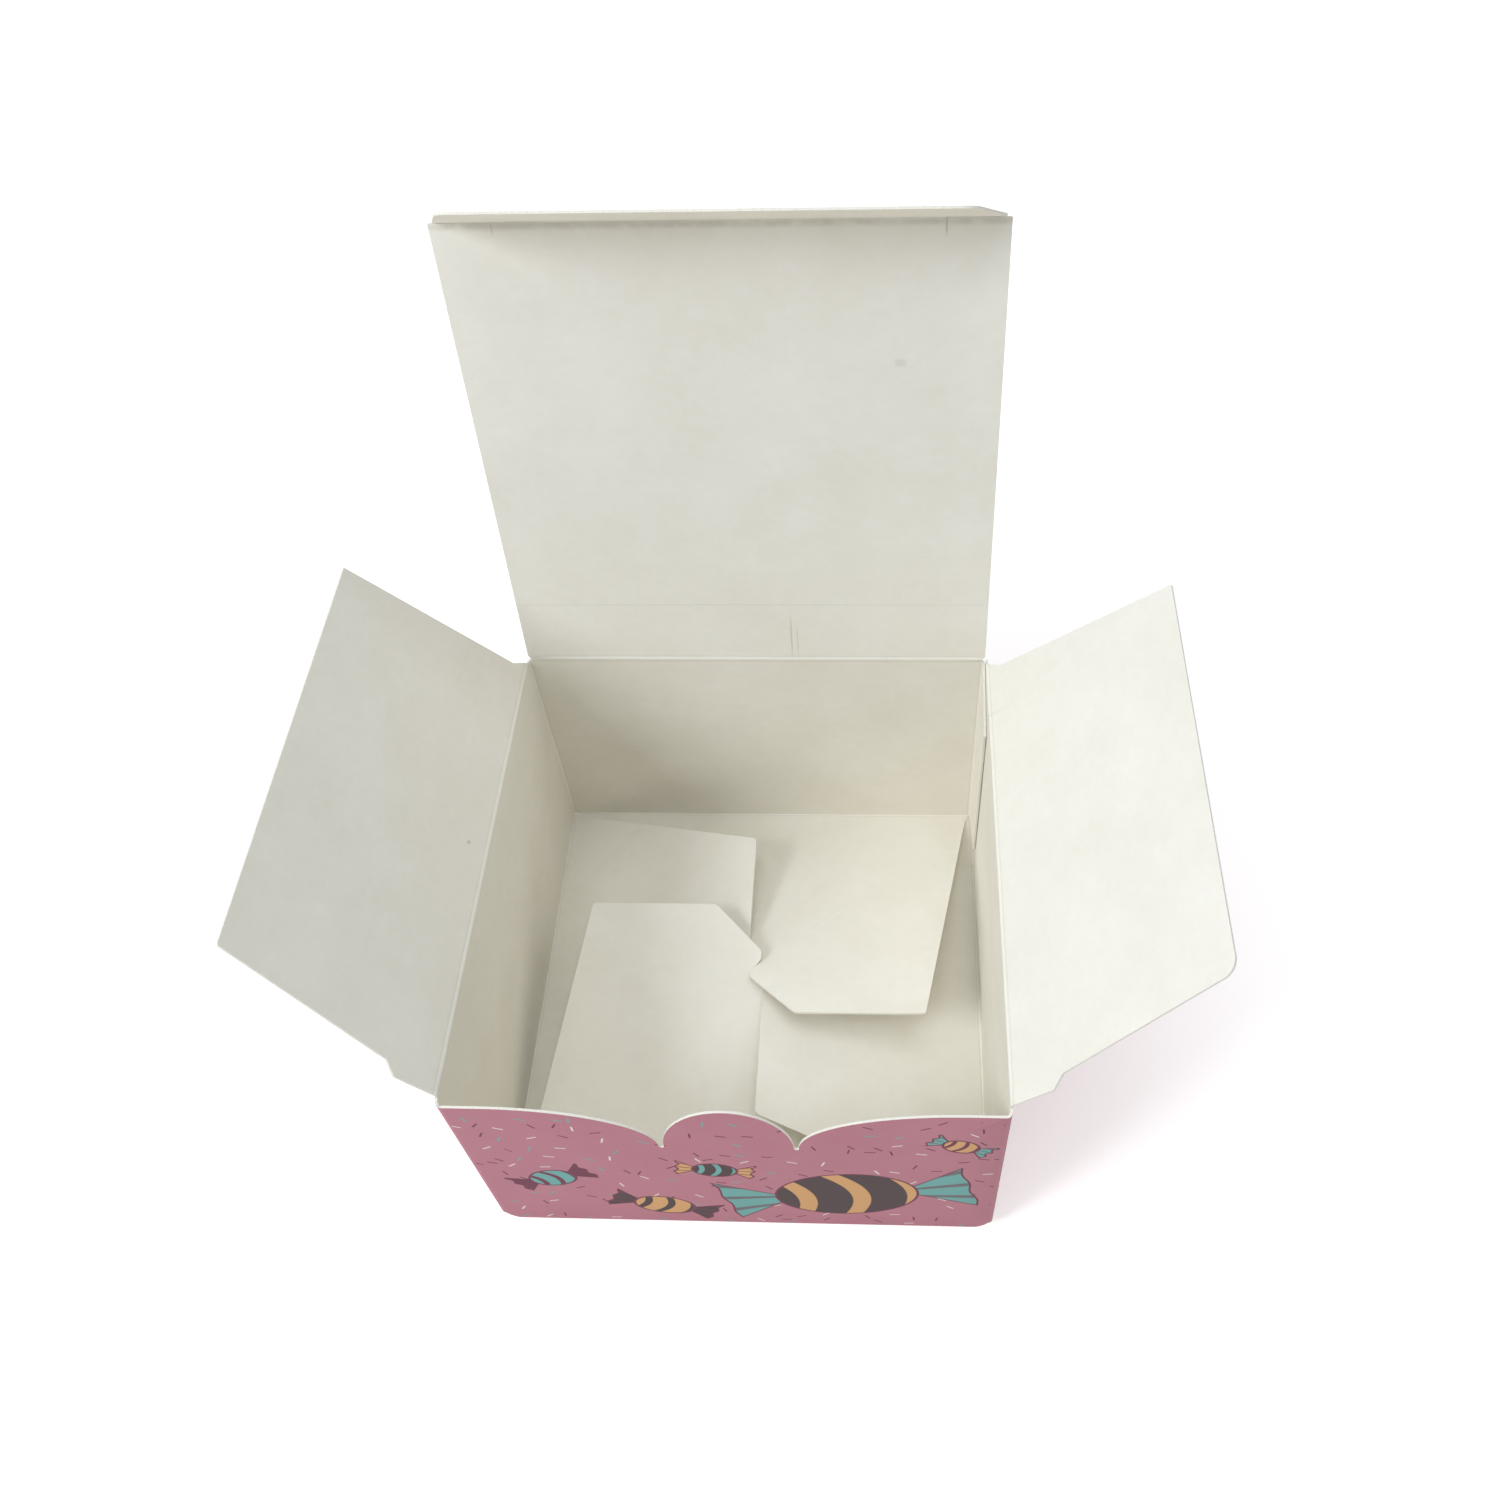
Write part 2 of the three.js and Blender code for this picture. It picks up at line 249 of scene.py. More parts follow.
def blankOutline():
    edge = list(nicks["glueLow"])
    for wall in ("back", "left", "front", "right"):
        flap = mainFlapEdge() if wall in ("back", "front") else sideFlapEdge()
        start = bottom["frontRelief" if wall in ("front", "right") else "backRelief"]
        end = bottom["frontRelief" if wall in ("front", "left") else "backRelief"]
        edge += shifted(start + flap + mirrored(end), middles[wall])
    edge += nicks["freeEnd"]
    edge += shifted(mirrored(dustFlapEdge("right")), middles["right"], blank["height"])
    edge += nicks["front"] + scallopEdge() + mirrored(nicks["front"])
    edge += shifted(dustFlapEdge("left"), middles["left"], blank["height"])
    edge += nicks["back"]
    edge += shifted(lidEdge(), middles["back"], blank["lidFold"])
    return edge + nicks["glueHigh"]


def flatPlace(sheet, vert):
    return vert[sheet.verts.layers.float["u"]], vert[sheet.verts.layers.float["v"]]


def faceMiddle(face):
    centre = face.calc_center_median()
    return centre.x, centre.z


def cutLine(sheet, point, along, within):  # an edge across the flat sheet, where a fold will bend it
    faces = [face for face in sheet.faces if within(*faceMiddle(face))]
    edges = {edge for face in faces for edge in face.edges}
    verts = {vert for face in faces for vert in face.verts}
    bmesh.ops.bisect_plane(
        sheet,
        geom=faces + list(edges) + list(verts),
        dist=blank["slack"],
        plane_co=(point[0], 0, point[1]),
        plane_no=(along[1], 0, -along[0]),
    )


def drawBlank():
    sheet = bmesh.new()
    corners = [sheet.verts.new((u, 0, v)) for u, v in blankOutline()]
    sheet.faces.new(corners)
    step = blank["gridStep"]
    right, up = blank["gridShift"]
    for count in range(*blank["gridColumns"]):
        cutLine(sheet, (count * step + right, 0), (0, 1), lambda u, v: True)
    for count in range(*blank["gridRows"]):
        cutLine(sheet, (0, count * step + up), (1, 0), lambda u, v: True)
    return sheet


beyond = 999.0  # the open end of a range

# Each kind of fold: its radius at the middle of the board, its steps, and the part of the flat
# sheet that it moves. For tabs, bottom flaps and dust flaps, u counts from the wall's middle.
folding = {
    "tab": {"radius": 0.4, "steps": 2, "u": (-8, 56), "v": (-beyond, -4)},
    "flap": {"radius": 0.5, "steps": 8, "u": (-54.01, 54.01), "v": (-beyond, 1.5)},
    "tuck": {"radius": 0.25, "steps": 6, "u": (-beyond, -160), "v": (160, beyond)},
    "lid": {"radius": 0.6, "steps": 2, "u": (-274, -164.6), "v": (64, beyond)},
    "dust": {"radius": 0.6, "steps": 6, "u": (-53.75, 53.75), "v": (63, beyond)},
    "glue": {"radius": 0.75, "steps": 6, "u": (-beyond, -271), "v": (-beyond, 67)},
    "back": {"radius": 0.75, "steps": 6, "u": (-beyond, -162), "v": (-beyond, 66.95)},
    "aboveBack": {"radius": 0.001, "steps": 1, "u": (-beyond, -164.5), "v": (66.95, beyond)},
    "left": {"radius": 0.75, "steps": 6, "u": (-beyond, -52), "v": (-beyond, beyond)},
    "right": {"radius": 0.75, "steps": 6, "u": (52, beyond), "v": (-beyond, beyond)},
}
# the lines that part the hinge creases from the panels, and where each crosses the sheet
hingeLines = [
    {"line": blank["lidFold"], "u": (-beyond, -165), "v": (60, beyond)},
    {"line": tuckLine, "u": (-beyond, -165), "v": (160, beyond)},
    {"line": blank["height"], "u": (-163.3, -55.8), "v": (60, 80)},
    {"line": blank["height"], "u": (55.8, 163.3), "v": (60, 80)},
]


def region(part, middle=0.0):  # tells whether a flat place lies in the part's range
    lowU, highU = part["u"]
    lowV, highV = part["v"]
    return lambda u, v: lowU < u - middle < highU and lowV <= v < highV


# at: a point of the fold line. along: its direction, with the part that moves on its right as
# seen from outside. A positive angle folds towards the inner side.
def makeFold(kind, at, along, angle, middle=0.0):
    shape = folding[kind]
    length = hypot(*along)
    return {
        "at": at,
        "along": (along[0] / length, along[1] / length),
        "angle": radians(angle),
        "radius": shape["radius"],
        "steps": shape["steps"],
        "within": region(shape, middle),
        "setback": shape["radius"] * tan(abs(radians(angle)) / 2),
    }


def cutFold(sheet, fold):
    du, dv = fold["along"]
    for step in range(fold["steps"] + 1):
        away = fold["setback"] * (2 * step / fold["steps"] - 1)
        cutLine(sheet, (fold["at"][0] + dv * away, fold["at"][1] - du * away), fold["along"], fold["within"])


def bendFold(sheet, fold):
    du, dv = fold["along"]
    setback = fold["setback"]
    across = Vector((dv, 0, -du))
    axis = Vector((du, 0, dv))
    inward = 1 if fold["angle"] > 0 else -1
    start = Vector((fold["at"][0], 0, fold["at"][1])) - across * setback
    centre = start + Vector((0, inward * fold["radius"], 0))
    for vert in sheet.verts:
        u, v = flatPlace(sheet, vert)
        away = (u - fold["at"][0]) * dv - (v - fold["at"][1]) * du
        if away <= blank["slack"] - setback or not fold["within"](u, v):
            continue
        shift = min(away + setback, 2 * setback)
        turn = Matrix.Rotation(fold["angle"] * shift / (2 * setback), 3, axis)
        vert.co = centre + turn @ (vert.co - across * shift - centre)


def wallFolds():
    low, high = (creasePoint(inward) for inward in bottom["tabEnds"])
    alongTab = (low[0] - high[0], low[1] - high[1])
    folds = []
    for middle in (middles["left"], middles["right"]):
        folds.append(makeFold("tab", (low[0] + middle, low[1]), alongTab, angles["glueTab"], middle))
    for middle in middles.values():
        at = (middle, blank["bottomFold"])
        folds.append(makeFold("flap", at, (1, 0), 90 + blank["tentAngle"], middle))
    folds.append(makeFold("tuck", (0, tuckLine), (-1, 0), angles["tuck"]))
    folds.append(makeFold("lid", (0, blank["lidFold"]), (-1, 0), 90 - angles["lid"]))
    for wall in ("left", "right"):
        angle = 90 - angles[wall + "Dust"]
        folds.append(makeFold("dust", (0, blank["height"]), (-1, 0), angle, middles[wall]))
    folds.append(makeFold("glue", (blank["glueFold"], 0), (0, -1), 90))
    folds.append(makeFold("back", (-3 * half, 0), (0, -1), 90))
    folds.append(makeFold("aboveBack", (-3 * half, 0), (0, -1), 90))
    folds.append(makeFold("left", (-half, 0), (0, -1), 90))
    folds.append(makeFold("right", (half, 0), (0, 1), 90))
    return folds


# Paper is never quite flat: each panel bows a little between its folds.
bows = {
    "front": {"u": (-54, 54), "v": (1, 64), "amount": -0.25},
    "left": {"u": (-163, -56), "v": (1, 65), "amount": -0.35},
    "right": {"u": (56, 163), "v": (1, 65), "amount": -0.3},
    "back": {"u": (-272, -166), "v": (1, 66), "amount": 0.3},
    "lid": {"u": (-274, -164), "v": (68, 175), "amount": -0.5},
    "leftDust": {"u": (-163, -56), "v": (67, 120), "amount": 0.5},
    "rightDust": {"u": (56, 163), "v": (67, 120), "amount": 0.4},
    "frontFlap": {"u": (-53, 14), "v": (-80, -1), "amount": 0.5},
    "backFlap": {"u": (-272, -205), "v": (-80, -1), "amount": -0.6},
}
lidLean = 0.5  # the lid stands a little askew, this far aside at its end


def bowPanels(sheet):
    for bow in bows.values():
        low, high = bow["u"], bow["v"]
        for vert in sheet.verts:
            u, v = flatPlace(sheet, vert)
            across = (u - low[0]) / (low[1] - low[0])
            along = (v - high[0]) / (high[1] - high[0])
            if 0 < across < 1 and 0 < along < 1:
                vert.co.y += bow["amount"] * sin(pi * across) ** 2 * sin(pi * along)
    for vert in sheet.verts:
        u, v = flatPlace(sheet, vert)
        if u < middles["back"] + half and v > blank["lidFold"]:
            vert.co.x += lidLean * (v - blank["lidFold"]) / upper["tuckFold"]


def foldBlank():
    sheet = drawBlank()
    folds = wallFolds()
    for fold in folds:
        cutFold(sheet, fold)
    for crease in hingeLines:
        for away in (-blank["creaseHalf"], blank["creaseHalf"]):
            cutLine(sheet, (0, crease["line"] + away), (1, 0), region(crease))
    layerU = sheet.verts.layers.float.new("u")
    layerV = sheet.verts.layers.float.new("v")
    uvs = sheet.loops.layers.uv.new("flat")
    for vert in sheet.verts:
        vert[layerU] = vert.co.x
        vert[layerV] = vert.co.z
    for face in sheet.faces:
        for loop in face.loops:
            loop[uvs].uv = (loop.vert.co.x * mm, loop.vert.co.z * mm)
    bowPanels(sheet)
    for fold in folds:
        bendFold(sheet, fold)
    return sheet


class Wire:
    # an output of a node, so that shader maths reads as plain sums
    def __init__(self, paint, socket):
        self.paint = paint
        self.socket = socket

    def maths(self, operation, *others, clamp=False):
        inputs = dict(enumerate((self, *others)))
        return self.paint.node("ShaderNodeMath", {"operation": operation, "use_clamp": clamp}, inputs)

    def __add__(self, other):
        return self.maths("ADD", other)

    __radd__ = __add__

    def __sub__(self, other):
        return self.maths("SUBTRACT", other)

    def __rsub__(self, other):
        return self.paint.node("ShaderNodeMath", {"operation": "SUBTRACT"}, {0: other, 1: self})

    def __mul__(self, other):
        return self.maths("MULTIPLY", other)

    __rmul__ = __mul__

    def __truediv__(self, other):
        return self.maths("DIVIDE", other)

    def __pow__(self, other):
        return self.maths("POWER", other)

    def __abs__(self):
        return self.maths("ABSOLUTE")

    def clamped(self):
        return self.maths("ADD", 0.0, clamp=True)


class Paint:
    # the nodes of one material, or of the world
    def __init__(self, owner):
        self.owner = owner
        owner.use_nodes = True
        self.tree = owner.node_tree
        self.tree.nodes.clear()

    def node(self, kind, settings=None, inputs=None, output=0):
        node = self.tree.nodes.new(kind)
        for setting, value in (settings or {}).items():
            if setting == "stops":
                self.setStops(node.color_ramp, value)
            else:
                setattr(node, setting, value)
        for key, value in (inputs or {}).items():
            if isinstance(value, Wire):
                self.tree.links.new(value.socket, node.inputs[key])
            else:
                node.inputs[key].default_value = value
        return Wire(self, node.outputs[output]) if node.outputs else None

    def setStops(self, ramp, stops):  # plain steps, one colour after another
        ramp.interpolation = "CONSTANT"
        while len(ramp.elements) < len(stops):
            ramp.elements.new(0.5)
        for element, (position, colour) in zip(ramp.elements, stops):
            element.position = position
            element.color = colour

    def flatPoint(self):
        return self.node("ShaderNodeUVMap", {"uv_map": "flat"})

    def flatAxes(self):  # u and v in millimetres
        parts = {"Vector": self.flatPoint()}
        return [self.node("ShaderNodeSeparateXYZ", {}, parts, axis) * 1000 for axis in (0, 1)]

    def stretched(self, vector, factors):
        settings = {"operation": "MULTIPLY"}
        return self.node("ShaderNodeVectorMath", settings, {0: vector, 1: factors})

    def noise(self, vector, scale, detail=2.0, roughness=0.5):
        inputs = {"Vector": vector, "Scale": scale, "Detail": detail, "Roughness": roughness}
        return self.node("ShaderNodeTexNoise", {}, inputs)

    def mix(self, factor, first, second):
        inputs = {"Factor": factor, 6: first, 7: second}
        return self.node("ShaderNodeMix", {"data_type": "RGBA"}, inputs, 2)

    def surface(self, inputs, bump=None, strength=0.0, distance=0.0):
        values = dict(inputs)
        if bump is not None:
            relief = {"Height": bump, "Strength": strength, "Distance": distance * mm}
            values["Normal"] = self.node("ShaderNodeBump", {}, relief)
        shader = self.node("ShaderNodeBsdfPrincipled", {}, values)
        self.node("ShaderNodeOutputMaterial", {}, {"Surface": shader})
        return self.owner

    def shownRays(self):  # 1 where the background is seen, in a mirror or through glass too
        rays = ("Is Camera Ray", "Is Glossy Ray", "Is Transmission Ray")
        return extreme("MAXIMUM", [self.node("ShaderNodeLightPath", {}, {}, ray) for ray in rays])


def extreme(operation, wires):  # the largest or the smallest of several
    result = wires[0]
    for wire in wires[1:]:
        result = result.maths(operation, wire)
    return result


def newPaint(name):
    return Paint(bpy.data.materials.new(name))


def colour(red, green, blue):  # a display colour from 0 to 255, as the shader's linear one
    values = [channel / 255 for channel in (red, green, blue)]
    return [v / 12.92 if v <= 0.04045 else ((v + 0.055) / 1.055) ** 2.4 for v in values] + [1.0]


bare = {
    "light": colour(240, 235, 222),
    "dark": colour(232, 226, 210),
    "fibre": colour(217, 210, 190),
    # painted highlight for the creases
    "paintedCreaseHighlight": colour(248, 244, 233),
    # painted shade for the dents beside the creases
    "paintedDentShade": colour(192, 184, 162),
    # dark colour of the marks, also used for the painted shadows in the tuck's fold and along the glue flap
    "mark": colour(142, 136, 112),
    "roughness": 0.8,
    # noise scales, to the metre
    "cloudScale": 55,
    "mottleScale": 420,
    "grainScale": 2600,
    "fibreScale": 900,
}


def bareBoard():  # the inner side: uncoated fibre, faintly mottled
    paint = newPaint("bareBoard")
    flat = paint.flatPoint()
    cloud = paint.noise(flat, bare["cloudScale"], 3, 0.6)
    mottle = paint.noise(flat, bare["mottleScale"], 3, 0.6)
    grain = paint.noise(paint.stretched(flat, (1.0, 2.6, 1.0)), bare["grainScale"], 3, 0.65)
    fibres = paint.noise(paint.stretched(flat, (0.35, 5.0, 1.0)), bare["fibreScale"], 2, 0.6)
    tone = ((cloud - 0.5) * 1.6 + (mottle - 0.5) * 0.7 + 0.45).clamped()
    board = paint.mix(tone, bare["light"], bare["dark"])
    streaks = ((fibres - 0.58) * 3.0).clamped() * 0.35
    board = paint.mix(streaks, board, bare["fibre"])
    crease, paintedDentShade, paintedTuckShadow = scoredLines(paint, flat)
    # painted shade in the dents beside each crease
    board = paint.mix(paintedDentShade * 0.22, board, bare["paintedDentShade"])
    # a painted highlight along each crease, where light would catch its bead
    board = paint.mix(crease * 0.35, board, bare["paintedCreaseHighlight"])
    # a painted shadow in the fold of the tuck, broken up with noise
    board = paint.mix(paintedTuckShadow * 0.26, board, bare["mark"])
    # dark marks, two of them a painted shadow along the glue flap's free edge
    board = paint.mix(marksAndPaintedShadow(paint), board, bare["mark"])
    rough = bare["roughness"] + (grain - 0.5) * 0.12
    inputs = {"Base Color": board, "Roughness": rough, "Specular IOR Level": 0.25}
    return paint.surface(inputs, grain * 0.7 + fibres * 0.5 + mottle * 0.6, 0.35, 0.06)


# how the creases look on the inner side, as distances from the fold line
scored = {
    "paintedCreaseHighlight": 0.38,
    "dentAt": 0.85,
    "dentHalf": 0.3,
    "uprightEnd": 66.4,       # upright folds stop below the lid
    "tuckShadowAt": 0.9,           # below the tuck's fold
    "tuckShadowHalf": 0.85,
    "tuckShadowBreaks": 260,
}


def fromUprights(u):  # how far a place lies from the nearest upright fold
    return extreme("MINIMUM", [abs(abs(u) - half), abs(u + 3 * half), abs(u - blank["glueFold"])])


# a painted highlight on each crease, painted shade in the dents beside it, and a painted shadow in the fold
# of the tuck, broken up with noise
def scoredLines(paint, flat):
    u, v = paint.flatAxes()
    onBack = (blank["backEdge"] - u).clamped()
    top = blank["height"] + onBack * (blank["lidFold"] - blank["height"])
    upright = fromUprights(u) + (v - scored["uprightEnd"]).clamped() * 9
    near = extreme("MINIMUM", [abs(v - top), abs(v - blank["bottomFold"]), upright])
    paintedCreaseHighlight = (1.4 - near / scored["paintedCreaseHighlight"]).clamped()
    dentShade = (1.0 - abs(near - scored["dentAt"]) / scored["dentHalf"]).clamped()
    broken = (paint.noise(flat, scored["tuckShadowBreaks"], 2, 0.6) * 2.4 - 0.4).clamped()
    fromTuckShadow = abs(v - tuckLine + scored["tuckShadowAt"])
    return paintedCreaseHighlight, dentShade, (1.3 - fromTuckShadow / scored["tuckShadowHalf"]).clamped() * broken


# small dark marks on the inner side, in flat millimetres: place, half size, strength
marks = [
    {"at": (-228.0, 74.0), "half": (0.14, 4.4), "strength": 0.32},
    {"at": (-229.4, 72.4), "half": (0.12, 3.2), "strength": 0.22},
    {"at": (-253.0, 145.4), "half": (0.9, 0.7), "strength": 0.16},
    {"at": (-219.0, 83.4), "half": (49.0, 0.16), "strength": 0.10},
    {"at": (-261.3, 174.0), "half": (0.14, 1.5), "strength": 0.4},
    {"at": (-176.7, 174.2), "half": (0.12, 1.2), "strength": 0.25},
    {"at": (-110.0, 71.5), "half": (0.35, 0.35), "strength": 0.4},
    # these two, on the right wall along the glue flap's free edge, are a painted shadow of the flap
    {"at": (147.8, 33.5), "half": (0.2, 24.0), "strength": 0.55},
    {"at": (147.6, 56.6), "half": (0.3, 1.4), "strength": 0.9},
]


def marksAndPaintedShadow(paint):
    u, v = paint.flatAxes()
    spots = []
    for mark in marks:
        across = abs(u - mark["at"][0]) / mark["half"][0]
        along = abs(v - mark["at"][1]) / mark["half"][1]
        spots.append((1.6 - across.maths("MAXIMUM", along)).clamped() * mark["strength"])
    return extreme("MAXIMUM", spots)


ink = {
    "pink": colour(190, 129, 139),
    "pinkDeep": colour(182, 119, 130),
    "worn": colour(212, 170, 175),
    "cocoa": colour(74, 60, 60),
    "biscuit": colour(214, 164, 110),
    "mint": colour(112, 170, 162),
    "plum": colour(112, 56, 74),
    "paper": colour(232, 214, 210),
    "roughness": 0.62,
    "cloudScale": 60,
    "screenScale": 1800,
    "lowest": -3.2,           # the print stops here, under the bottom flaps
    "beyondGlue": 3.0,        # and this far onto the glue flap
    "wornHalf": 0.9,
    "sharpness": 8,
}
# wrapped sweets printed on the front wall: middle, half length and height, tilt, and the inks of
# the body, its stripes and the wrapper's ends
sweets = [
    {"at": (23.0, 20.5), "half": (15.0, 12.0), "tilt": 12, "inks": ("cocoa", "biscuit", "mint")},
    {"at": (-17.0, 11.5), "half": (6.5, 5.0), "tilt": -22, "inks": ("biscuit", "cocoa", "cocoa")},
    {"at": (-39.0, 27.0), "half": (5.2, 4.0), "tilt": 30, "inks": ("mint", "plum", "plum")},
    {"at": (-4.0, 34.0), "half": (4.4, 3.4), "tilt": -8, "inks": ("cocoa", "mint", "biscuit")},
    {"at": (46.0, 49.0), "half": (3.6, 2.8), "tilt": -30, "inks": ("biscuit", "plum", "mint")},
]
wrapper = {
    "outline": 0.45,
    "neckAt": 0.82,           # in half lengths of the body
    "tipAt": 1.75,
    "flare": 0.75,
    "neckHalf": 0.4,
    "ripples": 7.5,
    "rippleDepth": 0.35,
    "pleats": 22,
    "swirls": 4.2,
}


def filled(amount):  # 1 inside a printed shape, with a crisp edge
    return (amount * ink["sharpness"]).clamped()


def printSweet(paint, u, v, sweet, board):
    turn = radians(sweet["tilt"])
    long, high = sweet["half"]
    main, stripe, wrap = (ink[name] for name in sweet["inks"])
    line = wrapper["outline"]
    du = (u - sweet["at"][0]) * cos(turn) + (v - sweet["at"][1]) * sin(turn)
    dv = (v - sweet["at"][1]) * cos(turn) - (u - sweet["at"][0]) * sin(turn)
    reach = abs(du)
    ring = ((du / long) ** 2 + (dv / high) ** 2) ** 0.5
    # the twisted ends open out from the body
    flare = (reach - long * wrapper["neckAt"]) * wrapper["flare"] - abs(dv) + wrapper["neckHalf"]
    ripple = (dv * (wrapper["ripples"] / high)).maths("SINE") * wrapper["rippleDepth"]
    fan = flare.maths("MINIMUM", long * wrapper["tipAt"] + ripple - reach)
    board = paint.mix(filled(fan + line), board, ink["plum"])
    board = paint.mix(filled(fan), board, wrap)
    pleat = ((dv / (reach + 0.1) * wrapper["pleats"]).maths("SINE") - 0.55) * 3
    board = paint.mix(pleat.clamped() * filled(fan) * 0.7, board, ink["plum"])
    inside = (1 - ring) * high
    board = paint.mix(filled(inside + line), board, ink["plum"])
    body = filled(inside)
    board = paint.mix(body, board, main)
    swirl = ((du * 1.9 / long + (dv / high) ** 2 * 0.5) * wrapper["swirls"]).maths("SINE")
    return paint.mix(((swirl - 0.45) * 9).clamped() * body, board, stripe)


sprinkle = {
    "cell": 5.2,
    "half": (0.95, 0.2),
    "inks": ("plum", "mint", "paper", "plum"),
    "missing": 0.3,           # share of the cells left bare
    "edges": (54, 1.2, 62),   # the printed field: half its width, its lowest and highest line
}


def printSprinkles(paint, u, v, board):  # short strokes at all angles, one to a cell
    place = paint.node("ShaderNodeCombineXYZ", {}, {0: u / sprinkle["cell"], 1: v / sprinkle["cell"]})
    settings = {"feature": "F1", "voronoi_dimensions": "2D"}
    inputs = {"Vector": place, "Scale": 1.0, "Randomness": 0.8}
    middle = paint.node("ShaderNodeTexVoronoi", settings, inputs, "Position")
    chance = paint.node("ShaderNodeTexVoronoi", settings, inputs, "Color")
    offset = paint.node("ShaderNodeVectorMath", {"operation": "SUBTRACT"}, {0: place, 1: middle})
    parts = [paint.node("ShaderNodeSeparateXYZ", {}, {0: offset}, axis) for axis in (0, 1)]
    du, dv = [part * sprinkle["cell"] for part in parts]
    turn, pick, shown = [paint.node("ShaderNodeSeparateColor", {}, {0: chance}, part) for part in range(3)]
    angle = turn * 2 * pi
    along = abs(du * angle.maths("COSINE") + dv * angle.maths("SINE"))
    across = abs(dv * angle.maths("COSINE") - du * angle.maths("SINE"))
    long, wide = sprinkle["half"]
    away = ((along - long).maths("MAXIMUM", 0) ** 2 + across ** 2) ** 0.5
    stroke = ((wide - away) * 9 + 0.5).clamped() * ((shown - sprinkle["missing"]) * 50).clamped()
    side, low, high = sprinkle["edges"]
    front = ((side - abs(u)) * 3).clamped() * ((v - low) * 3).clamped() * ((high - v) * 3).clamped()
    share = 1 / len(sprinkle["inks"])
    stops = [(step * share, ink[name]) for step, name in enumerate(sprinkle["inks"])]
    hue = paint.node("ShaderNodeValToRGB", {"stops": stops}, {0: pick})
    return paint.mix(stroke * front, board, hue)


def printedSide():  # the outer side: matt pink print with a few sweets on the front wall
    paint = newPaint("printedSide")
    flat = paint.flatPoint()
    u, v = paint.flatAxes()
    cloud = paint.noise(flat, ink["cloudScale"], 3, 0.6)
    screen = paint.noise(flat, ink["screenScale"], 2, 0.6)
    tone = ((cloud - 0.5) * 1.4 + (screen - 0.5) * 0.5 + 0.5).clamped()
    board = paint.mix(tone, ink["pink"], ink["pinkDeep"])
    board = printSprinkles(paint, u, v, board)
    for sweet in sweets:
        board = printSweet(paint, u, v, sweet, board)
    worn = wornFolds(paint, u, v, screen)
    board = paint.mix(worn, board, ink["worn"])
    onGlue = blank["glueFold"] - ink["beyondGlue"] - u
    unprinted = extreme("MAXIMUM", [filled(ink["lowest"] - v), filled(onGlue)])
    board = paint.mix(unprinted, board, bare["dark"])
    rough = ink["roughness"] + (screen - 0.5) * 0.1 + worn * 0.2
    inputs = {"Base Color": board, "Roughness": rough, "Specular IOR Level": 0.15}
    return paint.surface(inputs, screen * 0.5 + cloud * 0.2, 0.25, 0.04)


def wornFolds(paint, u, v, screen):  # the print thins where the board is creased
    near = fromUprights(u).maths("MINIMUM", abs(v - blank["bottomFold"]))
    crack = (1.0 - near / ink["wornHalf"]).clamped()
    return (crack * (screen * 1.6 - 0.35)).clamped() * 0.55


edge = {
    "core": colour(234, 229, 215),
    "grey": colour(214, 207, 188),
    "roughness": 0.9,
    "fibreScale": 3200,
}


def cutSide():  # the cut edge: the board's pale core, in fine layers
    paint = newPaint("cutSide")
    flat = paint.flatPoint()
    fibre = paint.noise(flat, edge["fibreScale"], 3, 0.7)
    core = paint.mix(((fibre - 0.45) * 2.2).clamped(), edge["core"], edge["grey"])
    inputs = {"Base Color": core, "Roughness": edge["roughness"] + (fibre - 0.5) * 0.1}
    return paint.surface(inputs, fibre, 0.4, 0.06)


finishes = [printedSide(), bareBoard(), cutSide()]
print("finishes ready")


finish = {
    "outer": 0,               # places in the list of finishes
    "inner": 1,
    "rim": 2,
    "edgeRound": 0.05,
    "edgeAngle": 50,
    "sharpAngle": 40,
    "beadHalf": 0.5,
}


def cutOut(sheet, name, inside):  # a copy of the folded sheet, left only where inside() holds
    piece = sheet.copy()
    dropped = []
    for face in piece.faces:
        places = [flatPlace(piece, vert) for vert in face.verts]
        u, v = (sum(values) / len(places) for values in zip(*places))
        if not inside(u, v):
            dropped.append(face)
    bmesh.ops.delete(piece, geom=dropped, context="FACES")
    bmesh.ops.scale(piece, vec=(mm, mm, mm), verts=piece.verts)
    for face in piece.faces:
        face.smooth = True
        face.material_index = finish["outer"]
    mesh = bpy.data.meshes.new(name)
    piece.to_mesh(mesh)
    piece.free()
    for material in finishes:
        mesh.materials.append(material)
    thing = bpy.data.objects.new(name, mesh)
    bpy.context.scene.collection.objects.link(thing)
    wall = thing.modifiers.new("board", "SOLIDIFY")
    wall.thickness = blank["board"] * mm
    wall.offset = 0
    wall.material_offset = finish["inner"]
    wall.material_offset_rim = finish["rim"]
    rounding = thing.modifiers.new("edge", "BEVEL")
    rounding.width = finish["edgeRound"] * mm
    rounding.segments = 2
    rounding.limit_method = "ANGLE"
    rounding.angle_limit = radians(finish["edgeAngle"])
    rounding.harden_normals = True
    return thing


def cutPanel(sheet, name, body, node, inside):
    panel = cutOut(sheet, name, inside)
    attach(panel, body)
    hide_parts(node)


